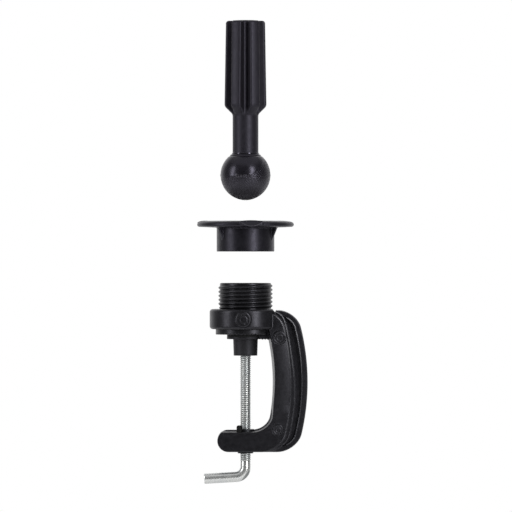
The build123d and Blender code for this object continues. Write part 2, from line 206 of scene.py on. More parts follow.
def lathe(name, profile, segments=96):
    """A closed ring turned from a loop of (radius, height) points."""
    angles = np.arange(segments) * TAU / segments
    points = []
    for angle in angles:
        for radius, height in profile:
            points.append((radius * sin(angle), -radius * cos(angle), height))
    size = len(profile)
    faces = []
    for i in range(segments):
        j = (i + 1) % segments
        for a in range(size):
            b = (a + 1) % size
            faces.append((i * size + a, j * size + a, j * size + b, i * size + b))
    return mesh_object(name, points, faces)


def rounded_loop(corners, rounds, steps=5):
    """A closed outline of (radius, height) corners with each corner rounded."""
    out = []
    total = len(corners)
    for i, (corner, radius) in enumerate(zip(corners, rounds)):
        here = Vector(corner)
        before = (Vector(corners[i - 1]) - here).normalized()
        after = (Vector(corners[(i + 1) % total]) - here).normalized()
        if radius <= 0:
            out.append(tuple(here))
            continue
        half = before.angle(after) / 2
        reach = radius / np.tan(half)
        for k in range(steps + 1):
            t = k / steps
            a = here + before * reach * (1 - t) ** 2 + after * reach * t**2
            out.append(tuple(a))
    return out


# a thread's ridge: half its foot, half its crest and the length that it fades over, in pitches
RIDGE_FOOT = 0.47
RIDGE_CREST = 0.112
RIDGE_FADE = 0.35
# the millimetres that its foot is sunk by, and the share of its height above the shoulders
RIDGE_SINK = 0.25
RIDGE_ROUND = 0.06


def thread_ridge(name, root, crest, pitch, low, high, segments=48, start=0.0):
    """A right-handed ridge between two heights. Its ends fade into the root."""
    steps = int((high - low) / pitch * segments)
    foot = RIDGE_FOOT * pitch
    wide = 1.12 * foot
    flat = RIDGE_CREST * pitch
    sunk = root + (RIDGE_SINK if crest < root else -RIDGE_SINK)
    shoulder = crest - (crest - root) * RIDGE_ROUND
    section = [
        (sunk, -wide),
        (root, -foot),
        (shoulder, -flat),
        (crest, 0),
        (shoulder, flat),
        (root, foot),
        (sunk, wide),
    ]
    fade = segments * RIDGE_FADE
    points, faces = [], []
    size = len(section)
    for i in range(steps + 1):
        angle = start + TAU * i / segments
        height = low + pitch * i / segments
        full = min(1, i / fade, (steps - i) / fade)
        for radius, dz in section:
            at_crest = abs(radius - crest) < abs(radius - root)
            r = root + (radius - root) * full if at_crest else radius
            points.append((r * sin(angle), -r * cos(angle), height + dz * (0.25 + 0.75 * full)))
    for i in range(steps):
        for a in range(size):
            b = (a + 1) % size
            faces.append((i * size + a, (i + 1) * size + a, (i + 1) * size + b, i * size + b))
    faces.append(tuple(range(size))[::-1])
    faces.append(tuple(steps * size + a for a in range(size)))
    return mesh_object(name, points, faces)


def tube_along(name, centres, radii, segments=40):
    """A tube with flat ends through a list of centres, each with its radius."""
    centres = [Vector(c) for c in centres]
    points, faces = [], []
    side = Vector((0, 1, 0))
    for i, centre in enumerate(centres):
        ahead = centres[min(i + 1, len(centres) - 1)] - centres[max(i - 1, 0)]
        ahead.normalize()
        u = (side - ahead * side.dot(ahead)).normalized()
        v = ahead.cross(u)
        for k in range(segments):
            a = TAU * k / segments
            points.append(centre + (u * cos(a) + v * sin(a)) * radii[i])
    for i in range(len(centres) - 1):
        a, b = i * segments, (i + 1) * segments
        for k in range(segments):
            n = (k + 1) % segments
            faces.append((a + k, a + n, b + n, b + k))
    faces.append(tuple(range(segments))[::-1])
    last = (len(centres) - 1) * segments
    faces.append(tuple(last + k for k in range(segments)))
    return mesh_object(name, [tuple(p) for p in points], faces)


def join(pieces, name):
    """Several pieces as one object."""
    bpy.ops.object.select_all(action="DESELECT")
    for piece in pieces:
        piece.select_set(True)
    bpy.context.view_layer.objects.active = pieces[0]
    bpy.ops.object.join()
    pieces[0].name = name
    pieces[0].data.name = name
    return pieces[0]


def outward(piece):
    """Makes every face of a closed mesh point outwards."""
    mesh = bmesh.new()
    mesh.from_mesh(piece.data)
    bmesh.ops.recalc_face_normals(mesh, faces=mesh.faces)
    mesh.to_mesh(piece.data)
    mesh.free()
    return piece


def sharpen(piece, angle=40):
    """Smooth shading that keeps edges over an angle crisp."""
    target = {"object": piece, "active_object": piece, "selected_editable_objects": [piece]}
    with bpy.context.temp_override(**target):
        bpy.ops.object.shade_smooth_by_angle(angle=radians(angle))
    return piece


# ---------------------------------------------------------------------------------------------
# Materials
# ---------------------------------------------------------------------------------------------


def new_material(name):
    """A material, its nodes, its links and its shader."""
    material = bpy.data.materials.new(name)
    material.use_nodes = True
    nodes = material.node_tree.nodes
    return material, nodes, material.node_tree.links, nodes["Principled BSDF"]


def noise(nodes, links, coords, size, detail, rough=0.55):
    """A noise texture whose blotches are about size millimetres wide."""
    node = nodes.new("ShaderNodeTexNoise")
    node.inputs["Scale"].default_value = 1 / (size * MM)
    node.inputs["Detail"].default_value = detail
    node.inputs["Roughness"].default_value = rough
    links.new(coords, node.inputs["Vector"])
    return node


def spread(nodes, links, value, low, high, start=0.3, end=0.7):
    """Maps a texture's middle range on to low..high."""
    node = nodes.new("ShaderNodeMapRange")
    node.inputs["From Min"].default_value = start
    node.inputs["From Max"].default_value = end
    node.inputs["To Min"].default_value = low
    node.inputs["To Max"].default_value = high
    links.new(value, node.inputs["Value"])
    return node.outputs["Result"]


def blend(nodes, links, first, second, factor):
    """Mixes two colours, each a list of three numbers or a socket, by a factor socket."""
    node = nodes.new("ShaderNodeMix")
    node.data_type = "RGBA"
    for name, colour in (("A", first), ("B", second)):
        if isinstance(colour, bpy.types.NodeSocket):
            links.new(colour, node.inputs[name])
        else:
            node.inputs[name].default_value = (*colour, 1)
    links.new(factor, node.inputs["Factor"])
    return node.outputs["Result"]


def bump_on(nodes, links, shader, heights):
    """Chains bumps of (height socket, strength, distance in mm) into the shader's normal."""
    last = None
    for height, strength, distance in heights:
        node = nodes.new("ShaderNodeBump")
        node.inputs["Strength"].default_value = strength
        node.inputs["Distance"].default_value = distance * MM
        links.new(height, node.inputs["Height"])
        if last:
            links.new(last, node.inputs["Normal"])
        last = node.outputs["Normal"]
    links.new(last, shader.inputs["Normal"])


def nylon(name, base, rough, sheen=(1, 1, 1), grain_mm=0.35, grain=0.25, wave=0.3, specular=0.5):
    """Black moulded nylon: fine spark-eroded grain, faint flow marks and uneven sheen."""
    material, nodes, links, shader = new_material(name)
    coords = nodes.new("ShaderNodeTexCoord").outputs["Object"]
    fine = noise(nodes, links, coords, 2 * grain_mm, 3.0)
    flow = noise(nodes, links, coords, 9, 3.0)
    blotch = noise(nodes, links, coords, 3.2, 5.0, 0.65).outputs["Fac"]
    darker, lighter = [c * 0.8 for c in base], [c * 1.25 for c in base]
    colour = blend(nodes, links, darker, lighter, spread(nodes, links, blotch, 0, 1))
    links.new(colour, shader.inputs["Base Color"])
    uneven = spread(nodes, links, blotch, rough - 0.06, rough + 0.07)
    links.new(uneven, shader.inputs["Roughness"])
    shader.inputs["Specular IOR Level"].default_value = specular
    shader.inputs["Specular Tint"].default_value = (*sheen, 1)
    waves = (flow.outputs["Fac"], wave, 0.25)
    grains = (fine.outputs["Fac"], grain, 0.06)
    bump_on(nodes, links, shader, [waves, grains])
    return material


def paint_light_by_height(material, painted_colour_below, high, low):
    """Changes a moulding's colour below a height, as painted light and shade for how light falls on
    it.
    """
    nodes, links = material.node_tree.nodes, material.node_tree.links
    shader = nodes["Principled BSDF"]
    colour = shader.inputs["Base Color"].links[0].from_socket
    axes = nodes.new("ShaderNodeSeparateXYZ")
    coords = nodes.new("ShaderNodeTexCoord")
    links.new(coords.outputs["Object"], axes.inputs["Vector"])
    down = spread(nodes, links, axes.outputs["Z"], 0, 1, high * MM, low * MM)
    links.new(blend(nodes, links, colour, painted_colour_below, down), shader.inputs["Base Color"])


def rubber(name):
    """Matte black rubber with a chalky grain."""
    base = (0.012, 0.012, 0.013)
    return nylon(name, base, 0.62, grain_mm=0.5, grain=0.5, wave=0.2, specular=0.35)


# where the painted shade in the screw's thread roots begins and ends, as distances from the screw's
# axis
ROOT_SHADE = (3.35, 3.65)
# colour of the painted shade in the thread's roots
ROOT_SHADE_COLOUR = (0.34, 0.36, 0.36)


def zinc(name, tint=(0.92, 0.93, 0.91), rough=0.24, stretch=3.0, paint_root_shade=False):
    """Bright zinc plate: duller patches and draw lines along the rod, and painted shade in a
    thread's roots.
    """
    material, nodes, links, shader = new_material(name)
    coords = nodes.new("ShaderNodeTexCoord").outputs["Object"]
    stretched = nodes.new("ShaderNodeMapping")
    stretched.inputs["Scale"].default_value = (stretch, stretch, 1)
    links.new(coords, stretched.inputs["Vector"])
    lines = noise(nodes, links, stretched.outputs["Vector"], 14, 3.0, 0.5).outputs["Fac"]
    patches = noise(nodes, links, coords, 7, 3.0).outputs["Fac"]
    duller = [c * share for c, share in zip(tint, (0.90, 0.92, 0.95))]
    colour = blend(nodes, links, duller, tint, spread(nodes, links, patches, 0, 1))
    # painted shade: darker colour close to the axis, in the thread's roots
    if paint_root_shade:
        flat = nodes.new("ShaderNodeVectorMath")
        flat.operation = "MULTIPLY"
        flat.inputs[1].default_value = (1, 1, 0)
        links.new(coords, flat.inputs[0])
        reach = nodes.new("ShaderNodeVectorMath")
        reach.operation = "LENGTH"
        links.new(flat.outputs["Vector"], reach.inputs[0])
        out = spread(nodes, links, reach.outputs["Value"], 0, 1, ROOT_SHADE[0] * MM, ROOT_SHADE[1] * MM)
        colour = blend(nodes, links, ROOT_SHADE_COLOUR, colour, out)
    links.new(colour, shader.inputs["Base Color"])
    shader.inputs["Metallic"].default_value = 0.8
    uneven = spread(nodes, links, lines, rough - 0.04, rough + 0.08)
    links.new(uneven, shader.inputs["Roughness"])
    bump_on(nodes, links, shader, [(lines, 0.04, 0.04)])
    return material


COOL = (1.0, 0.99, 1.12)
VIOLET = (1.0, 0.96, 1.20)
FRAME_NYLON = nylon("frame_nylon", (0.0085, 0.0083, 0.0098), 0.34, COOL)
# painted highlight: the light colour of the spine's edge lines stands for the glint on the edges
EDGE_HIGHLIGHT_NYLON = nylon("edge_highlight_nylon", (0.19, 0.19, 0.20), 0.25, COOL, grain=0.1, specular=0.8)
# painted highlight fading downwards: the edge lines are lightest at the top, where the edges catch
# the light from above
paint_light_by_height(EDGE_HIGHLIGHT_NYLON, (0.045, 0.045, 0.050), 8.0, -32.0)
JAW_NYLON = nylon("jaw_nylon", (0.0080, 0.0080, 0.0085), 0.34, COOL)
SOCKET_NYLON = nylon("socket_nylon", (0.0064, 0.0064, 0.0070), 0.31, COOL)
NUT_NYLON = nylon("nut_nylon", (0.0082, 0.0078, 0.0098), 0.38, VIOLET)
# painted highlight: light colour for the glint along the lower edge of each finger scoop
SCALLOP_HIGHLIGHT_NYLON = nylon("scallop_highlight_nylon", (0.050, 0.048, 0.054), 0.28, VIOLET, grain=0.1)
STEM_NYLON = nylon("stem_nylon", (0.0110, 0.0100, 0.0130), 0.48, VIOLET, 0.7, 0.8, 0.5)
RING_NYLON = nylon("ring_nylon", (0.0160, 0.0150, 0.0180), 0.14, VIOLET, grain=0.05, specular=1.0)
BALL_NYLON = nylon("ball_nylon", (0.0110, 0.0100, 0.0132), 0.27, VIOLET, wave=0.25)
# painted light: the ball turns lighter below its middle, standing in for light from below
paint_light_by_height(BALL_NYLON, (0.040, 0.038, 0.044), BALL_Z + 1, BALL_Z - 8)
# painted highlight: light colour for the glint on the crests of the ball's small rings
MARK_HIGHLIGHT_NYLON = nylon("mark_highlight_nylon", (0.075, 0.072, 0.080), 0.35, VIOLET, grain=0.1)
CAP_NYLON = nylon("cap_nylon", (0.0085, 0.0083, 0.0095), 0.36, COOL, grain=0.4)
PIN_NYLON = nylon("pin_nylon", (0.0040, 0.0040, 0.0042), 0.60, specular=0.25)
PAD_NYLON = nylon("pad_nylon", (0.0115, 0.0115, 0.0120), 0.52, COOL, grain=0.4)
PAD_RUBBER = rubber("pad_rubber")
LINER_RUBBER = rubber("liner_rubber")
ZINC = zinc("zinc_steel", paint_root_shade=True)
ZINC_DULL = zinc("zinc_steel_dull", rough=0.32, stretch=2.0)
DARK_STEEL = zinc("dark_steel", (0.05, 0.05, 0.055), 0.38)
SPRING_STEEL = zinc("spring_steel", (0.5, 0.5, 0.51), 0.3, 2.0)
ACETAL = nylon("joint_acetal", (0.55, 0.54, 0.50), 0.4)


def finish(piece, body, material, slot, *replaced):
    """Gives a new piece its material and its body, and hides the CAD nodes that it stands for. The
    slot is not used.
    """
    piece.data.materials.clear()
    piece.data.materials.append(material)
    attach(piece, body)
    if replaced:
        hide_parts(*replaced)
    return piece


# ---------------------------------------------------------------------------------------------
# Clamp frame
# ---------------------------------------------------------------------------------------------

SPINE_OUT_R = 162.6
SPINE_OUT_X = FRAME_HIGH.x
SPINE_IN_R = 151.0
SPINE_IN_X = 19.6
SPINE_MID = -34.0
SPINE_TOP = 17.2
BEAD_WIDTH = 4.2
STEP_SHIFT = 8.3
PLATE_SHIFT = 11.3
DRAFT = np.tan(radians(6))
PLATE_CROWN = 0.7
ARM_LEDGE = 0.8
HALF_PLATE = (17.0, 9.0)
HALF_STEP = (15.0, 7.75)
HALF_BEAD = (13.0, 6.5)
HALF_WEB = (9.5, 4.25)
# above this height the layers have their full depth
DEPTH_TOP = 3.0
# how far the step's and the plate's edges move towards the throat, from the arm to the top
STEP_CLOSE = 1.8
PLATE_CLOSE = 0.6
COLLAR_END = 20.4
ARM_END_MIDDLE = ARM_END_X + ARM_HALF


def half_depth(z, halves):
    """A layer's half depth at height z: it falls from the jaw to the lower arm."""
    fall = rise(DEPTH_TOP - z, 0, DEPTH_TOP - ARM_TOP)
    return halves[0] + (halves[1] - halves[0]) * fall


def back_edge(x, z, corner=12.0):
    """Distance to the spine's back, with its two rounded corners."""
    arc = np.sqrt((x - SPINE_OUT_X + SPINE_OUT_R) ** 2 + (z - SPINE_MID) ** 2) - SPINE_OUT_R
    return rounded_and(rounded_and(arc, z - SPINE_TOP, corner), ARM_LOW - z, 13.0)


def step_edge(x, z):
    """Distance past the step's edge, which closes on the plate's edge towards the top."""
    return back_edge(x + STEP_SHIFT + STEP_CLOSE * rise(z, -50, -15), z, 7.0)


def plate_edge(x, z):
    """Distance past the plate's edge."""
    return back_edge(x + PLATE_SHIFT + PLATE_CLOSE * rise(z, -45, -20), z)


def bead_edge(x, z):
    """Distance in front of the bead's inner edge."""
    return -back_edge(x, z) - BEAD_WIDTH


def throat(x, z):
    """Distance into the open throat."""
    arc = np.sqrt((x - SPINE_IN_X + SPINE_IN_R) ** 2 + (z - SPINE_MID) ** 2) - SPINE_IN_R
    return np.maximum(rounded_and(arc, ARM_TOP - z, 10.0), z - COLLAR_LOW)


def jaw_end():
    """Where the jaw ring stops on the spine's side."""
    return SPINE_IN_X - SPINE_IN_R + sqrt(SPINE_IN_R**2 - (COLLAR_LOW - SPINE_MID) ** 2) - 0.4


GUSSET_FLOOR = -3.7
GUSSET_LEFT = 8.6
GUSSET_LOW_LEFT = 11.2
GUSSET_HALF = 11.0
TOOTH_PITCH = 1.9
PAD_ROOM_R = 13.9


def gusset_field(x, y, z):
    """Toothed corner piece between the jaw and the spine, hollowed round the pad."""
    slant = (GUSSET_LOW_LEFT - GUSSET_LEFT) / GUSSET_FLOOR
    left = (GUSSET_LEFT + (z + 0.1) * slant - x) / sqrt(1 + slant**2)
    low_part = rounded_and(left, z + 0.1, 0.1)
    shape = np.minimum(low_part, jaw_end() + 0.1 - x)
    shape = np.maximum(shape, z - COLLAR_LOW - 1)
    saw = np.abs((x - GUSSET_LOW_LEFT) % TOOTH_PITCH - TOOTH_PITCH / 2)
    shape = np.maximum(shape, (GUSSET_FLOOR + 0.8 * saw - z) * 0.8)
    shape = np.maximum(shape, x - SPINE_IN_X)
    shape = rounded_and(shape, np.abs(y) - GUSSET_HALF, 0.5)
    filler = np.maximum(jaw_end() - 0.7 - x, np.abs(y) - GUSSET_HALF + 0.2)
    filler = np.maximum(filler, np.maximum(-z, x - 20))
    shape = np.minimum(shape, np.maximum(filler, z - COLLAR_LOW - 1))
    return np.maximum(shape, PAD_ROOM_R - np.sqrt(x * x + y * y))


def plate_front(x, z):
    """How far in front of the middle plane the plate stands."""
    return half_depth(z, HALF_PLATE)


def collar_front(x, z):
    """How far in front of the middle plane the collar's wall stands."""
    return np.sqrt(np.maximum(COLLAR_R**2 - x * x, 0))


# each cover's node, its x, z and radius, and the face that it is pressed into
COVERS = (
    ("collar_cap", (-1.6, 11.0, 5.6), collar_front),
    ("upper_frame_cap", (24.1, -1.9, 4.8), plate_front),
    ("lower_frame_cap", (23.3, -67.9, 4.0), plate_front),
)
# a cover's gap all round, which is also how far it stands in front of its face
COVER_GAP = 0.05
COVER_RECESS = 2.4

# bores in the frame: radius, low end and high end
SOCKET_BORE = (16.05, 9.0, 40.0)
BOLT_HEAD_BORE = (5.6, -1.0, 7.4)
BUSH_BORE = (6.25, ARM_LOW - 5, ARM_TOP + 5)
PIN_BORE_R = 2.15

NOTCH_X = 20.9
NOTCH_LOW = 16.2
NOTCH_HALF = 0.45


def notch(x, z):
    """The slanting gap between the collar and the top of the spine, wider towards its mouth."""
    aside = np.abs(x - NOTCH_X + 0.5 * (z - 17))
    return np.maximum(aside - NOTCH_HALF - 0.3 * (z - NOTCH_LOW), NOTCH_LOW - z)


def frame_field(x, y, z):
    """The whole moulding: collar, I-section spine and lower arm."""
    ay = np.abs(y)
    back = back_edge(x, z)
    inner = throat(x, z)
    ledge = ARM_LEDGE * rise(-z, 50, 60) * rise(ay, 1.6, 2.1)
    wall = ay * DRAFT + ledge
    solid = np.maximum(np.maximum(back, wall - inner), -x)
    reach = np.clip(x, ARM_END_MIDDLE, 5)
    arm = np.sqrt((x - reach) ** 2 + (z - ARM_MIDDLE) ** 2) - ARM_HALF
    arm = rounded_and(arm, z - ARM_TOP + wall, 0.3)
    web = rounded_and(solid, ay - half_depth(z, HALF_WEB), 0.8)
    bead = np.maximum(solid, bead_edge(x, z))
    bead = rounded_and(bead, ay - half_depth(z, HALF_BEAD), 0.7)
    step = rounded_and(solid, step_edge(x, z), 0.1)
    step = rounded_and(step, ay - half_depth(z, HALF_STEP), 0.7)
    beyond = plate_edge(x, z)
    plate = np.maximum(solid, beyond)
    across = np.clip((inner + beyond) / np.maximum(inner - beyond, 3), -1, 1)
    crown = PLATE_CROWN * (across**2 + across) + 0.25
    crown = crown * rise(z, -62, -50) * rise(-z, -6, 0)
    plate = np.minimum(plate, arm)
    plate = rounded_and(plate, ay - half_depth(z, HALF_PLATE) + crown, 0.7)
    body = rounded_or(web, bead, 0.6)
    body = rounded_or(body, step, 0.4)
    body = rounded_or(body, plate, 0.4)
    body = np.minimum(body, gusset_field(x, y, z))
    collar = upright_cylinder(x, y, z, COLLAR_R, COLLAR_LOW, COLLAR_TOP, 2.2)
    collar = np.maximum(collar, np.minimum(x - COLLAR_END, z - SPINE_TOP + 0.1))
    body = rounded_or(body, collar, 0.4)
    for _, (cx, cz, radius), front in COVERS:
        outside = -y - front(cx, z)
        hole = np.sqrt((x - cx) ** 2 + (z - cz) ** 2) - radius - COVER_GAP
        body = rounded_and(body, -rounded_and(hole, -outside - COVER_RECESS, 0.05), 0.25)
    body = np.maximum(body, -upright_cylinder(x, y, z, *SOCKET_BORE))
    body = np.maximum(body, -upright_cylinder(x, y, z, *BOLT_HEAD_BORE))
    pin = (PIN_LOW + PIN_HIGH) / 2
    pin_bore = np.sqrt((x - pin.x) ** 2 + (y - pin.y) ** 2) - PIN_BORE_R
    body = rounded_and(body, -pin_bore, 0.1)
    body = rounded_and(body, -upright_cylinder(x, y, z, *BUSH_BORE), 0.5)
    return rounded_and(body, -notch(x, z), 0.3)


JAW_BORE_R = 14.0
JAW_TEETH = 44
JAW_TOOTH = 0.7


def jaw_field(x, y, z):
    """Ring with a smooth wall and radial teeth underneath, cut away for spine and gusset."""
    r = np.sqrt(x * x + y * y)
    wall = np.abs(r - (JAW_R + JAW_BORE_R) / 2) - (JAW_R - JAW_BORE_R) / 2
    saw = 1 - 2 * np.abs((np.arctan2(y, x) * JAW_TEETH / TAU) % 1 - 0.5)
    tooth = JAW_TOOTH * saw * rise(r, JAW_R - 4, JAW_R - 1)
    ring = rounded_and(wall, (tooth - z) * 0.8, 0.35)
    ring = np.maximum(ring, z - JAW_HIGH.z)
    gusset_room = np.maximum(GUSSET_LEFT - 0.05 - x, np.abs(y) - GUSSET_HALF - 0.05)
    return np.maximum(np.maximum(ring, -gusset_room), x - jaw_end())


def jaw_ring():
    """The jaw ring as a mesh."""
    pitch = 0.28
    piece = skin("jaw_ring_moulding", jaw_field, tuple(JAW_LOW), tuple(JAW_HIGH), pitch)
    return finish(piece, "clamp", JAW_NYLON, "cap_nylon", "jaw_ring")


def cover(node, place, front):
    """A press-in cover: raised rim, inner ring and short generic bars between them."""
    cx, cz, radius = place
    low, high = box_mm(node)

    def field(x, y, z):
        rho = np.sqrt((x - cx) ** 2 + (z - cz) ** 2)
        around = np.arctan2(z - cz, x - cx)
        relief = 0.22 * bell(rho / radius - 0.82, 0.09) + 0.20 * bell(rho / radius - 0.42, 0.08)
        bars = np.clip(2 * np.cos(9 * around), 0, 1) * bell(rho / radius - 0.62, 0.08)
        relief = relief + 0.16 * bars * (np.cos(around - 2.3) ** 2 > 0.4)
        face = -y - front(x, z) - COVER_GAP - relief
        return rounded_and(rounded_and(rho - radius, face, 0.3), y - high.y, 0.1)

    pitch = 0.2
    piece = skin(node + "_moulding", field, tuple(low), tuple(high), pitch)
    return finish(piece, "clamp", CAP_NYLON, "cap_nylon", node)


def clamp_frame():
    """The whole moulding as a mesh."""
    pitch = 0.4
    low = (-COLLAR_R, -COLLAR_R, ARM_LOW)
    high = (SPINE_OUT_X, COLLAR_R, COLLAR_TOP)
    piece = skin("clamp_frame_moulding", frame_field, low, high, pitch)
    return finish(piece, "clamp", FRAME_NYLON, "frame_nylon", "clamp_frame")


clamp_frame()
jaw_ring()
for cover_node, cover_place, cover_face in COVERS:
    cover(cover_node, cover_place, cover_face)


LINE_SPOTS = 141
# the depths at which a line looks for the frame's surface, from the front backwards
LINE_DEPTHS = np.linspace(-21, -3, 361)


def edge_x(edge, z, inset):
    """Where an edge function comes to -inset at height z, found by halving."""
    sign = 1 if edge(60.0, z) > 0 else -1
    near, far = 0.0, 60.0
    for _ in range(30):
        x = (near + far) / 2
        if (edge(x, z) + inset) * sign > 0:
            far = x
        else:
            near = x
    return x


def tapered(count, radius, end):
    """A line's radius at each of its spots, which falls to a share of it at both ends."""
    return [radius * min(1, end + k / 8, end + (count - 1 - k) / 8) for k in range(count)]


def edge_line(name, edge, low, high, inset, radius):
    """A thin line along an edge of the spine, on its front and on its back, coloured light as a
    painted highlight.
    """
    path = []
    same = np.ones(len(LINE_DEPTHS))
    for k in range(LINE_SPOTS):
        z = low + (high - low) * (1 - cos(pi * k / (LINE_SPOTS - 1))) / 2
        x = edge_x(edge, z, inset)
        outside = frame_field(x * same, LINE_DEPTHS, z * same) > 0
        path.append((x, LINE_DEPTHS[max(1, int(np.argmin(outside)))], z))
    path = [spot for spot in path if np.hypot(spot[0], spot[1]) > COLLAR_R + 0.3]
    depths = np.array([spot[1] for spot in path])
    depths = np.convolve(np.pad(depths, 5, mode="edge"), np.ones(11) / 11, "valid") - 0.12
    path = [(spot[0], y, spot[2]) for spot, y in zip(path, depths)]
    sizes = tapered(len(path), radius, 0.2)
    front = tube_along(name, path, sizes, 10)
    back = tube_along(name + "_back", [(x, -y, z) for x, y, z in path], sizes, 10)
    return outward(join([front, back], name))


def edge_lines():
    """Lines of painted highlight along the edges of the plate, the step and the bead."""
    bead_top = SPINE_TOP - BEAD_WIDTH - 0.6
    lines = [
        edge_line("plate_line", plate_edge, ARM_LOW + 0.6, SPINE_TOP - 0.6, 0.35, 0.38),
        edge_line("step_line", step_edge, ARM_LOW + 1.0, SPINE_TOP - 0.8, 0.35, 0.38),
        edge_line("bead_line", bead_edge, ARM_LOW + 5.0, bead_top, 0.30, 0.46),
    ]
    return finish(join(lines, "spine_edge_highlights"), "clamp", EDGE_HIGHLIGHT_NYLON, "frame_nylon")


edge_lines()


# ---------------------------------------------------------------------------------------------
# Socket, nut and screw threads
# ---------------------------------------------------------------------------------------------

THREAD_PITCH = 2.84
THREAD_ROOT = SOCKET_R - 1.15
THREAD_LOW = COLLAR_TOP + 0.4
THREAD_START = -2.8
CUP_Z = BALL_Z - 72.0
CUP_R = BALL_R + 0.4
WELL_R = 12.65
WELL_FLOOR = 21.4
BOLT_HOLE_R = 3.02
TENON_R = 16.0
TENON_LOW = 9.0


def threaded_socket():
    """The cup: core, coarse thread and rounded mouth."""
    top = SOCKET_HIGH.z
    mouth = sqrt(CUP_R**2 - (CUP_Z - top) ** 2)
    floor = CUP_Z - sqrt(CUP_R**2 - WELL_R**2)
    outline = [
        (THREAD_ROOT, COLLAR_TOP - 3),
        (THREAD_ROOT, top),
        (mouth, top),
        (WELL_R, floor),
        (WELL_R, WELL_FLOOR),
        (BOLT_HOLE_R, WELL_FLOOR),
        (BOLT_HOLE_R, TENON_LOW),
        (TENON_R, TENON_LOW),
        (TENON_R, COLLAR_TOP - 3),
    ]
    outline = rounded_loop(outline, [0, 0.8, 0.5, 0, 0, 0, 0, 0, 0])
    cup = []
    for k in range(1, 14):
        z = top + (floor - top) * k / 14
        cup.append((sqrt(CUP_R**2 - (CUP_Z - z) ** 2), z))
    mouth_at = max(i for i, (r, z) in enumerate(outline) if z > floor + 1)
    outline = outline[: mouth_at + 1] + cup + outline[mouth_at + 1 :]
    core = lathe("threaded_socket_core", outline, 128)
    ends = (THREAD_LOW, top - 1.1)
    ridge = thread_ridge(
        "socket_thread", THREAD_ROOT, SOCKET_R, THREAD_PITCH, *ends, 96, start=THREAD_START
    )
    piece = outward(join([core, ridge], "threaded_socket_moulding"))
    sharpen(piece, 50)
    return finish(piece, "clamp", SOCKET_NYLON, "frame_nylon", "threaded_socket")


threaded_socket()


CREST_R = NUT_R - 8.0
SKIRT_R = 20.6
FLANGE_LOW = NUT_HIGH.z - 4.3
SCOOP_R = 28.0
SCOOP_SLANT = radians(41.8)
SCOOP_OUT = NUT_R - 3.4 + SCOOP_R / cos(SCOOP_SLANT)
SCOOP_TURN = 7.5
SCOOP_LIP = 0.55
WEB_FOOT_R = 20.0
WEB_FOOT_Z = 66.0
WEB_TOP_R = 24.6
WEB_HALF = 1.0
BALL_BORE_R = 18.25
NUT_THREAD_ROOT = 19.65
NUT_THREAD_CREST = 18.9
# the split ring's groove: radius, low end and high end
GROOVE = (22.9, 77.75, 80.05)


def turned(x, y, angle):
    """Distances outwards and across, in the upright plane at an angle from the front."""
    a = radians(angle)
    return x * sin(a) - y * cos(a), x * cos(a) + y * sin(a)


def nut_field(x, y, z):
    """Flange with finger scoops, skirt, webs, ball bore, ring groove and thread bore."""
    r = np.sqrt(x * x + y * y)
    top = NUT_HIGH.z
    under = NUT_LOW.z - 5
    fall = 0.5 * rise(CREST_R - r, 0, 3) + 0.018 * np.maximum(r - CREST_R, 0) ** 2
    slope = 0.6 * rise(NUT_R - 2 - r, 0, NUT_R - 2 - SKIRT_R)
    flange = np.maximum(z - (top - fall), (FLANGE_LOW - slope) - z)
    flange = rounded_and(flange, r - NUT_R, 1.7)
    skirt = upright_cylinder(x, y, z, SKIRT_R, NUT_LOW.z, top - 1.5, 0.3)
    for turn in range(3):
        out, across = turned(x, y, SCOOP_TURN + 120 * turn)
        lean = (out - SCOOP_OUT) * cos(SCOOP_SLANT) + (z - top) * sin(SCOOP_SLANT)
        scoop = np.sqrt(lean**2 + across**2) - SCOOP_R
        flange = rounded_and(flange - SCOOP_LIP * bell(scoop - 0.3, 0.5), -scoop, 0.15)
        out, across = turned(x, y, SCOOP_TURN + 60 + 120 * turn)
        slant = (WEB_TOP_R - WEB_FOOT_R) / (FLANGE_LOW - WEB_FOOT_Z)
        web = (out - WEB_FOOT_R - (z - WEB_FOOT_Z) * slant) / sqrt(1 + slant**2)
        web = np.maximum(np.maximum(web, 18.6 - out), z - top + 2)
        skirt = rounded_or(skirt, rounded_and(web, np.abs(across) - WEB_HALF, 0.15), 0.15)
    body = rounded_or(flange, skirt, 0.6)
    body = rounded_and(body, -upright_cylinder(x, y, z, BALL_BORE_R, under, top + 5), 0.4)
    body = np.maximum(body, -upright_cylinder(x, y, z, NUT_THREAD_ROOT - 0.05, under, 68.5))
    return np.maximum(body, -upright_cylinder(x, y, z, *GROOVE))


def ring_nut():
    """The nut with its thread as a mesh."""
    pitch = 0.35
    low = (-NUT_R, -NUT_R, NUT_LOW.z)
    high = (NUT_R, NUT_R, NUT_HIGH.z)
    body = skin("ring_nut_body", nut_field, low, high, pitch)
    thread_low = NUT_LOW.z + 1.2
    start = THREAD_START + pi + TAU * (thread_low - THREAD_LOW) / THREAD_PITCH
    radii = (NUT_THREAD_ROOT, NUT_THREAD_CREST)
    ridge = thread_ridge("nut_thread", *radii, THREAD_PITCH, thread_low, 67.5, 96, start=start)
    piece = join([body, outward(ridge)], "ring_nut_moulding")
    return finish(piece, "nut", NUT_NYLON, "nut_nylon", "ring_nut")


ring_nut()


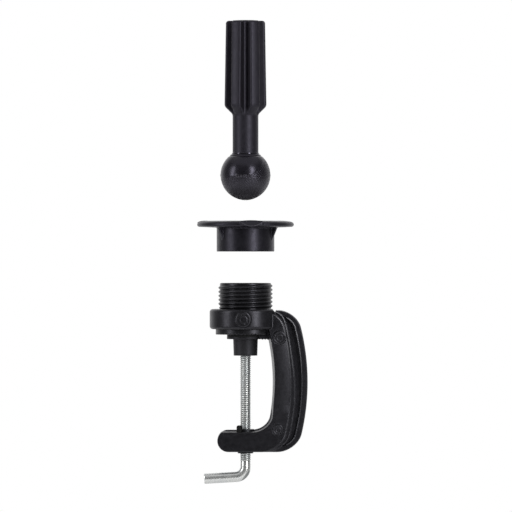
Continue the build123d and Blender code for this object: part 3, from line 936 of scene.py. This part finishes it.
def scallop_highlights():
    """Line of painted highlight along the lower edge of each finger scoop."""
    pieces = []
    for turn in range(3):
        a = radians(SCOOP_TURN + 120 * turn)
        path = []
        for k in range(61):
            across = 9.9 * sin(pi * (k / 60 - 0.5))
            out = sqrt(NUT_R**2 - across**2)
            lean = -sqrt(SCOOP_R**2 - across**2)
            z = NUT_HIGH.z + (lean - (out - SCOOP_OUT) * cos(SCOOP_SLANT)) / sin(SCOOP_SLANT)
            z = min(z, NUT_HIGH.z - 0.2)
            path.append((out * sin(a) + across * cos(a), across * sin(a) - out * cos(a), z))
        path = onto_surface(np.array(path).T, nut_field, 0.35).T
        sizes = tapered(61, 0.34, 0.25)
        pieces.append(tube_along("scallop_line", [tuple(spot) for spot in path], sizes, 10))
    return finish(outward(join(pieces, "scallop_highlights")), "nut", SCALLOP_HIGHLIGHT_NYLON, "nut_nylon")


scallop_highlights()

SCREW_R = 3.97
ROD_R = 3.72
SCREW_ROOT = 3.3
SCREW_PITCH = 25.4 / 18
THREAD_END = -91.2
HANDLE_Z = -101.65
BEND_R = 7.15
HANDLE_LENGTH = 30.0
BEND_ANGLE = radians(90 - 3.2)
HANDLE_TURN = radians(4.0)


def clamp_screw():
    """Threaded rod with a rolled thread, a tight bend and a short crank."""
    centres = [(0, 0, SCREW_TOP), (0, 0, SCREW_TOP - 0.4), (0, 0, SCREW_TOP - 1.2)]
    radii = [2.4, 2.9, SCREW_ROOT]
    centres += [(0, 0, THREAD_END + 1.5), (0, 0, THREAD_END - 0.3)]
    radii += [SCREW_ROOT, ROD_R]
    steps = 18
    for k in range(steps + 1):
        a = BEND_ANGLE * k / steps
        centres.append((BEND_R * (cos(a) - 1), 0, HANDLE_Z + BEND_R * (1 - sin(a))))
        radii.append(ROD_R * (1 + 0.03 * sin(2 * a)))
    start = Vector(centres[-1])
    ahead = Vector((-sin(BEND_ANGLE), 0, -cos(BEND_ANGLE)))
    reach = HANDLE_LENGTH - BEND_R
    for along, radius in ((0.5, 0), (0.97, 0), (0.985, 0.02), (1.0, 0.3)):
        centres.append(start + ahead * reach * along)
        radii.append(ROD_R - radius)
    rod = tube_along("screw_rod", centres, radii, 48)
    ends = (THREAD_END + 0.4, SCREW_TOP - 2.0)
    ridge = thread_ridge("screw_thread", SCREW_ROOT, SCREW_R, SCREW_PITCH, *ends, 40)
    piece = outward(join([rod, ridge], "clamp_screw_rod"))
    piece.data.transform(Matrix.Rotation(HANDLE_TURN, 4, "Z"))
    sharpen(piece, 45)
    return finish(piece, "screw", ZINC, "zinc_steel", "clamp_screw")


clamp_screw()


# ---------------------------------------------------------------------------------------------
# Ball stem
# ---------------------------------------------------------------------------------------------

NECK_R = 9.2
PLUG_TOP = STEM_HIGH.z - 0.8
PLUG_LOW = 163.1
PLUG_TOP_R = 14.0
PLUG_LOW_R = 15.0
RIB_HALF = 3.85
NECK_LOW = STEM_LOW.z + 3.7
PLUG_BORE_R = 6.55


def stem_field(x, y, z):
    """Neck, and six ribs round it that end in a taper."""
    r = np.sqrt(x * x + y * y)
    taper = (PLUG_LOW_R - PLUG_TOP_R) / (PLUG_TOP - PLUG_LOW)
    wall = r - PLUG_LOW_R + (z - PLUG_LOW) * taper
    nose = (r - NECK_R - (z - (PLUG_LOW - (PLUG_LOW_R - NECK_R)))) / sqrt(2)
    envelope = rounded_and(rounded_and(wall, z - PLUG_TOP, 1.9), nose, 1.0)
    neck = rounded_and(r - NECK_R, z - PLUG_TOP, 1.2)
    ribs = None
    for k in range(3):
        angle = radians(60 * k)
        across = np.abs(-x * sin(angle) + y * cos(angle)) - RIB_HALF
        rib = rounded_and(envelope, across, 1.0)
        ribs = rib if ribs is None else rounded_or(ribs, rib, 1.2)
    body = rounded_or(neck, ribs, 0.9)
    body = np.maximum(body, NECK_LOW - z)
    bore = upright_cylinder(x, y, z, PLUG_BORE_R, PLUG_TOP - 9, PLUG_TOP + 5)
    return rounded_and(body, -bore, 0.6)


def stem():
    """The neck and the plug as a mesh."""
    pitch = 0.45
    low = (-PLUG_LOW_R, -PLUG_LOW_R, NECK_LOW)
    high = (PLUG_LOW_R, PLUG_LOW_R, PLUG_TOP)
    piece = skin("stem_moulding", stem_field, low, high, pitch)
    return finish(piece, "ball_stem", STEM_NYLON, "stem_nylon", "stem")


stem()


def neck_ring():
    """Narrow polished ring where the neck meets the ball."""
    low = BALL_Z + sqrt(BALL_R**2 - 9.7**2) + 0.02
    outline = [(NECK_R + 0.02, low), (9.75, low), (9.75, low + 1.0), (NECK_R + 0.02, low + 1.0)]
    piece = lathe("neck_ring", rounded_loop(outline, [0, 0.3, 0.5, 0]), 120)
    return finish(outward(piece), "ball_stem", RING_NYLON, "stem_nylon")


neck_ring()


KNURL = 54
LIP = 0.575
# azimuth and radius of each mark, in radians
MARKS = ((-0.33, 0.06), (-0.17, 0.035), (-0.03, 0.045), (0.15, 0.06))


def ball_height(polar, around):
    """Relief on the ball: a lip round the neck, a diamond knurl, small rings and two side nubs."""
    right = bell(around - 1.25, 0.75)
    knurled = rise(polar - (pi / 2 + 0.04) + 0.75 * right, 0, 0.12)
    knurled = knurled * rise(pi - polar, 0, 0.5)
    arc = np.log(np.tan(np.clip(polar, 0.3, pi - 0.12) / 2))
    one = np.maximum(np.sin(KNURL * (around + arc)), -0.3)
    two = np.maximum(np.sin(KNURL * (around - arc)), -0.3)
    height = 0.20 * knurled * (one * two - 1.1)
    height += 0.20 * bell(polar - LIP - 0.05, 0.03) - 0.25 * bell(polar - LIP - 0.13, 0.03)
    for azimuth, size in MARKS:
        away = np.hypot((around - azimuth) * np.sin(polar), polar - pi / 2 - 0.04)
        height += 0.14 * bell(away - size, 0.025) - 0.40 * bell(away - size + 0.045, 0.028)
    for azimuth in (-pi / 2, pi / 2):
        away = np.hypot((around - azimuth) * np.sin(polar), polar - pi / 2)
        height += 0.25 * bell(away, 0.03)
    return height


def ball():
    """Smooth above and knurled below, with a lip round the neck's seat and the seat's bore."""
    rings, segments = ((260, 480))
    top_angle = np.arcsin((NECK_R + 0.05) / BALL_R)
    polar = top_angle + (pi - top_angle) * np.arange(rings + 1)[:, None] / rings
    around = TAU * (np.arange(segments)[None, :] / segments) - pi
    r = BALL_R + ball_height(polar, around)
    shell = [r * np.sin(polar) * np.sin(around), -r * np.sin(polar) * np.cos(around)]
    shell.append(BALL_Z + r * np.cos(polar) + 0 * around)
    points = np.stack(shell, axis=-1).reshape(-1, 3).tolist()
    seat = [(NECK_R + 0.05, BALL_Z + 14.1), (6.05, BALL_Z + 14.1), (6.05, BALL_Z + 10.3)]
    for radius, z in seat:
        points += [(radius * sin(a), -radius * cos(a), z) for a in around[0]]
    faces = []
    order = list(range(rings, -1, -1)) + list(range(rings + 1, rings + 1 + len(seat)))
    for upper, lower in zip(order, order[1:]):
        for k in range(segments):
            n = (k + 1) % segments
            a, b = upper * segments, lower * segments
            faces.append((a + k, a + n, b + n, b + k))
    faces.append(tuple(order[-1] * segments + k for k in range(segments)))
    piece = mesh_object("ball_moulding", points, faces)
    return finish(outward(piece), "ball_stem", BALL_NYLON, "stem_nylon", "ball")


ball()


def ball_mark_highlights():
    """Painted highlights on the crests of the small moulded rings on the ball's front."""
    pieces = []
    r = BALL_R + 0.08
    for azimuth, size in MARKS:
        path = []
        for k in range(25):
            around = azimuth + size * cos(TAU * k / 24)
            polar = pi / 2 + 0.04 + size * sin(TAU * k / 24)
            ring = r * sin(polar)
            path.append((ring * sin(around), -ring * cos(around), BALL_Z + r * cos(polar)))
        pieces.append(tube_along("ball_mark", path, [0.16] * 25, 8))
    return finish(outward(join(pieces, "ball_mark_highlights")), "ball_stem", MARK_HIGHLIGHT_NYLON, "stem_nylon")


ball_mark_highlights()


def pad_facing():
    """Grip disc on the pad, closed up to the jaw at rest."""
    edge = FACING_HIGH.x
    outline = [(0.02, FACING_LOW.z), (edge, FACING_LOW.z), (edge, -0.08), (0.02, -0.08)]
    piece = lathe("pad_facing_disc", rounded_loop(outline, [0, 0.1, 0.3, 0]), 96)
    return finish(outward(piece), "pad", PAD_RUBBER, "pad_rubber", "pad_facing")


pad_facing()


# ---------------------------------------------------------------------------------------------
# CAD nodes that keep their shape
# ---------------------------------------------------------------------------------------------

KEPT = {
    "ball_seat_liner": LINER_RUBBER,
    "socket_bolt": ZINC_DULL,
    "screw_bush": DARK_STEEL,
    "bush_retainer": PIN_NYLON,
    "pressure_pad": PAD_NYLON,
    "pad_clip": SPRING_STEEL,
    "split_clamp_ring": ACETAL,
    "joint_bead": ACETAL,
    "tilt_ring_inner": ACETAL,
    "tilt_ring_outer": ACETAL,
    "stem_washer": ZINC_DULL,
    "stem_bolt": ZINC_DULL,
}
for node, material in KEPT.items():
    mesh = frame["nodes"][node].data
    mesh.materials.clear()
    mesh.materials.append(material)


# ---------------------------------------------------------------------------------------------
# Studio
# ---------------------------------------------------------------------------------------------


def floor():
    """A pale floor well below the clamp."""
    place = {"radius": 1.1, "location": (0, 0, -0.42)}
    bpy.ops.mesh.primitive_circle_add(vertices=96, fill_type="NGON", **place)
    piece = bpy.context.object
    piece.name = "studio_floor"
    material, nodes, links, shader = new_material("studio_floor")
    shader.inputs["Base Color"].default_value = (0.9, 0.9, 0.9, 1)
    shader.inputs["Roughness"].default_value = 0.8
    piece.data.materials.append(material)


def softbox(name, azimuth, elevation, distance, width, height, power):
    """An area light aimed at the middle of the object. azimuth 0 is in front, positive is right."""
    light = bpy.data.lights.new(name, "AREA")
    light.shape = "RECTANGLE"
    light.size = width
    light.size_y = height
    light.energy = power
    lamp = bpy.data.objects.new(name, light)
    a, e = radians(azimuth), radians(elevation)
    aim = Vector((0, 0, 0.05))
    away = Vector((sin(a) * cos(e), -cos(a) * cos(e), sin(e)))
    lamp.location = aim + away * distance
    lamp.rotation_euler = away.to_track_quat("Z", "Y").to_euler()
    lamp.visible_camera = False
    bpy.context.scene.collection.objects.link(lamp)


# brightness from straight in front of the clamp (0) to straight behind it (1)
WORLD_DEPTHS = ((0.0, 0.05), (0.15, 0.05), (0.55, 0.13), (0.68, 0.22), (0.9, 1.0))
WORLD_ABOVE = 0.5


def world():
    """White to the eye. In reflections it is white behind the clamp and dim in front."""
    scene_world = bpy.data.worlds.new("studio")
    bpy.context.scene.world = scene_world
    scene_world.use_nodes = True
    nodes, links = scene_world.node_tree.nodes, scene_world.node_tree.links
    background = nodes["Background"]
    background.inputs["Color"].default_value = (1, 1, 1, 1)
    path = nodes.new("ShaderNodeLightPath")
    coords = nodes.new("ShaderNodeTexCoord")
    axes = nodes.new("ShaderNodeSeparateXYZ")
    links.new(coords.outputs["Generated"], axes.inputs["Vector"])
    depth = nodes.new("ShaderNodeMapRange")
    depth.inputs["From Min"].default_value = -1
    links.new(axes.outputs["Y"], depth.inputs["Value"])
    ramp = nodes.new("ShaderNodeValToRGB")
    links.new(depth.outputs["Result"], ramp.inputs["Fac"])
    while len(ramp.color_ramp.elements) < len(WORLD_DEPTHS):
        ramp.color_ramp.elements.new(0.5)
    for stop, (position, grey) in zip(ramp.color_ramp.elements, WORLD_DEPTHS):
        stop.position = position
        stop.color = (grey, grey, grey, 1)
    above = nodes.new("ShaderNodeMapRange")
    above.interpolation_type = "SMOOTHSTEP"
    above.inputs["From Min"].default_value = 0.5
    above.inputs["From Max"].default_value = 0.85
    above.inputs["To Max"].default_value = WORLD_ABOVE
    links.new(axes.outputs["Z"], above.inputs["Value"])
    brighter = nodes.new("ShaderNodeMath")
    brighter.operation = "MAXIMUM"
    links.new(ramp.outputs["Color"], brighter.inputs[0])
    links.new(above.outputs["Result"], brighter.inputs[1])
    strength = nodes.new("ShaderNodeMix")
    strength.inputs["B"].default_value = 1.0
    links.new(path.outputs["Is Camera Ray"], strength.inputs["Factor"])
    links.new(brighter.outputs["Value"], strength.inputs["A"])
    links.new(strength.outputs["Result"], background.inputs["Strength"])


def camera():
    """Straight-on view from the front, level with the gap above the collar."""
    data = bpy.data.cameras.new("camera")
    data.sensor_width = 36
    data.lens = 344.4
    data.clip_end = 20
    eye = bpy.data.objects.new("camera", data)
    eye.location = (0.0075, -3.5, 0.0561)
    eye.rotation_euler = (radians(90), 0, 0)
    bpy.context.scene.collection.objects.link(eye)
    bpy.context.scene.camera = eye


floor()
world()
camera()
softbox("left_box", -63, 14, 1.3, 0.35, 1.0, 4.4)
softbox("right_box", 34, 15, 1.3, 0.3, 1.1, 8.0)
bpy.context.scene.view_settings.view_transform = "Standard"
